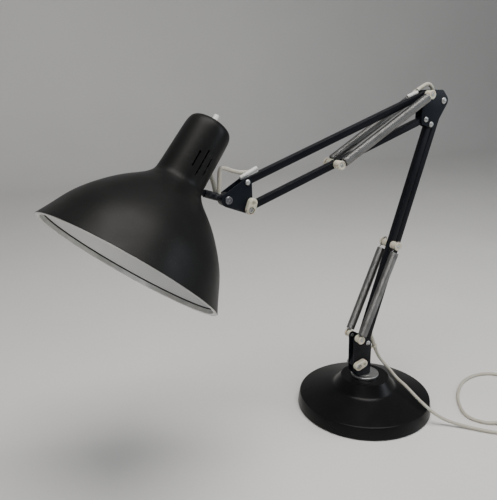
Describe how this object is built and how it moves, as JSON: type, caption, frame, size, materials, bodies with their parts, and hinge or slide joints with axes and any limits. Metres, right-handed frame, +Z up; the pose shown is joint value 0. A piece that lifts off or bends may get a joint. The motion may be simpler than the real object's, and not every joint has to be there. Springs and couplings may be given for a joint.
{
  "type": "architect desk lamp",
  "caption": "Desk lamp with a round weighted base, twin parallelogram spring arms, clamped elbow and head brackets and a tilting bell shade with a mains lead.",
  "frame": {"origin": "centre of the base's underside", "axes": "+Z up, the arms lie in the plane y = 0, the lamp head is towards -X and the elbow towards +X"},
  "size_m": [0.732, 0.3026, 0.4535],
  "materials": {
    "black_paint": "satin",
    "cast_iron": "matt",
    "felt": "matt",
    "zinc": "satin",
    "bracket_paint": "satin",
    "spring_steel": "satin",
    "cream_plastic": "satin",
    "rim_metal": "satin",
    "white_plastic": "satin",
    "black_plastic": "gloss",
    "brass": "satin",
    "bulb_glass": "opal",
    "cord_pvc": "satin"
  },
  "bodies": {
    "base": {"base_cover": "black_paint", "base_weight": "cast_iron", "base_pad": "felt", "pivot_bush": "zinc", "base_washer": "zinc"},
    "lower_bracket": {"lower_bracket": "black_paint", "bracket_spindle": "zinc", "spindle_nut": "zinc", "base_clamp_bolt": "zinc", "lower_stay_rivet": "zinc", "lower_studs": "zinc", "lower_stud_bushes": "cream_plastic", "base_cord": "cord_pvc", "cord_clip": "cream_plastic", "cord_relief": "cord_pvc", "mains_cord": "cord_pvc", "cord_coil": "cord_pvc", "plug_body": "white_plastic", "plug_pins": "brass"},
    "base_lever": {"base_clamp_lever": "cream_plastic"},
    "lower_main": {"lower_main_bar": "black_paint", "lower_cross_pin": "zinc", "lower_cross_bushes": "cream_plastic"},
    "lower_stay": {"lower_stay_bar": "black_paint"},
    "lower_spring_front": {"lower_spring_front": "spring_steel"},
    "lower_spring_back": {"lower_spring_back": "spring_steel"},
    "elbow": {"elbow_plate_front": "bracket_paint", "elbow_plate_back": "bracket_paint", "elbow_main_rivet": "zinc", "elbow_stay_rivet": "zinc", "elbow_lower_rivet": "zinc", "elbow_spring_pin": "zinc", "elbow_bushes": "cream_plastic"},
    "upper_top": {"upper_top_bar": "black_paint", "upper_cord_sleeves": "white_plastic", "elbow_cord": "cord_pvc", "head_cord": "cord_pvc"},
    "upper_lower": {"upper_lower_bar": "black_paint", "upper_cross_pin": "zinc", "upper_cross_bushes": "cream_plastic"},
    "upper_spring_front": {"upper_spring_front": "spring_steel"},
    "upper_spring_back": {"upper_spring_back": "spring_steel"},
    "upper_hook_front": {"upper_hook_front": "spring_steel"},
    "upper_hook_back": {"upper_hook_back": "spring_steel"},
    "head_bracket": {"head_plate_front": "bracket_paint", "head_plate_back": "bracket_paint", "head_top_rivet": "zinc", "head_tilt_bolt": "zinc", "head_clamp_bolt": "zinc"},
    "head_lever": {"head_clamp_lever": "cream_plastic"},
    "stem": {"head_stem": "black_paint"},
    "shade": {"shade": "black_paint", "shade_rim": "rim_metal", "neck_cord": "cord_pvc", "stem_nut": "zinc", "switch_housing": "white_plastic", "lamp_holder": "black_plastic", "bulb_cap": "brass", "bulb": "bulb_glass"},
    "button": {"switch_button": "white_plastic"}
  },
  "joints": [
    {"name": "base_swivel", "type": "hinge", "parent": "base", "child": "lower_bracket", "pos_m": [0, 0, 0.05], "axis": [0, 0, 1], "range_deg": [-170, 170]},
    {"name": "lower_arm", "type": "hinge", "parent": "lower_bracket", "child": "lower_main", "pos_m": [-0.021, 0, 0.07], "axis": [0, 1, 0], "range_deg": [-45, 0]},
    {"name": "lower_stay_pivot", "type": "hinge", "parent": "lower_bracket", "child": "lower_stay", "pos_m": [-0.002, 0, 0.1], "axis": [0, 1, 0], "range_deg": [-45, 0], "deforming": ["base_cord"]},
    {"name": "elbow_level", "type": "hinge", "parent": "lower_main", "child": "elbow", "pos_m": [0.08362, 0, 0.3998], "axis": [0, 1, 0], "range_deg": [0, 45]},
    {"name": "lower_spring_front_pin", "type": "hinge", "parent": "lower_bracket", "child": "lower_spring_front", "pos_m": [-0.021, 0, 0.112], "axis": [0, 1, 0], "range_deg": [-58.3, 0]},
    {"name": "lower_spring_back_pin", "type": "hinge", "parent": "lower_bracket", "child": "lower_spring_back", "pos_m": [-0.021, 0, 0.112], "axis": [0, 1, 0], "range_deg": [-58.3, 0]},
    {"name": "upper_arm", "type": "hinge", "parent": "elbow", "child": "upper_top", "pos_m": [0.07312, 0, 0.4385], "axis": [0, 1, 0], "range_deg": [-30, 30], "deforming": ["elbow_cord"]},
    {"name": "upper_stay_pivot", "type": "hinge", "parent": "elbow", "child": "upper_lower", "pos_m": [0.07412, 0, 0.4065], "axis": [0, 1, 0], "range_deg": [-30, 30]},
    {"name": "head_level", "type": "hinge", "parent": "upper_top", "child": "head_bracket", "pos_m": [-0.1891, 0, 0.34616], "axis": [0, 1, 0], "range_deg": [-30, 30], "deforming": ["head_cord"]},
    {"name": "upper_spring_front_pin", "type": "hinge", "parent": "elbow", "child": "upper_spring_front", "pos_m": [0.07312, 0, 0.4385], "axis": [0, 1, 0], "range_deg": [-27.3, 27.3]},
    {"name": "upper_spring_back_pin", "type": "hinge", "parent": "elbow", "child": "upper_spring_back", "pos_m": [0.07312, 0, 0.4385], "axis": [0, 1, 0], "range_deg": [-27.3, 27.3]},
    {"name": "upper_spring_front_stretch", "type": "slide", "parent": "upper_spring_front", "child": "upper_hook_front", "axis": [-0.8623, 0, -0.5063], "range_m": [-0.0143, 0.0143], "deforming": ["upper_spring_front"]},
    {"name": "upper_spring_back_stretch", "type": "slide", "parent": "upper_spring_back", "child": "upper_hook_back", "axis": [-0.8623, 0, -0.5063], "range_m": [-0.0143, 0.0143], "deforming": ["upper_spring_back"]},
    {"name": "head_tilt", "type": "hinge", "parent": "head_bracket", "child": "stem", "pos_m": [-0.2141, 0, 0.32766], "axis": [0, 1, 0], "range_deg": [-50, 20], "deforming": ["head_cord"]},
    {"name": "shade_swivel", "type": "hinge", "parent": "stem", "child": "shade", "pos_m": [-0.2141, 0, 0.32766], "axis": [-0.9409, 0, 0.3387], "range_deg": [-75, 75], "deforming": ["neck_cord"]},
    {"name": "switch_press", "type": "slide", "parent": "shade", "child": "button", "axis": [-0.6273, -0.1994, -0.7529], "range_m": [0, 0.0025], "stiffness_N_per_m": 300},
    {"name": "base_lever_turn", "type": "hinge", "parent": "lower_bracket", "child": "base_lever", "pos_m": [-0.021, 0, 0.07], "axis": [0, 1, 0], "range_deg": [-45, 60]},
    {"name": "head_lever_turn", "type": "hinge", "parent": "head_bracket", "child": "head_lever", "pos_m": [-0.1881, 0, 0.31416], "axis": [0, 1, 0], "range_deg": [-45, 60]}
  ],
  "couplings": [
    {"joint": "lower_stay_pivot", "follows": "lower_arm", "ratio": 1},
    {"joint": "elbow_level", "follows": "lower_arm", "ratio": -1},
    {"joint": "lower_spring_front_pin", "follows": "lower_arm", "ratio": 1.295},
    {"joint": "lower_spring_back_pin", "follows": "lower_arm", "ratio": 1.295},
    {"joint": "upper_stay_pivot", "follows": "upper_arm", "ratio": 1},
    {"joint": "head_level", "follows": "upper_arm", "ratio": -1},
    {"joint": "upper_spring_front_pin", "follows": "upper_arm", "ratio": 0.91},
    {"joint": "upper_spring_back_pin", "follows": "upper_arm", "ratio": 0.91},
    {"joint": "upper_spring_front_stretch", "follows": "upper_arm", "m_per_rad": -0.027158},
    {"joint": "upper_spring_back_stretch", "follows": "upper_arm", "m_per_rad": -0.027158}
  ]
}
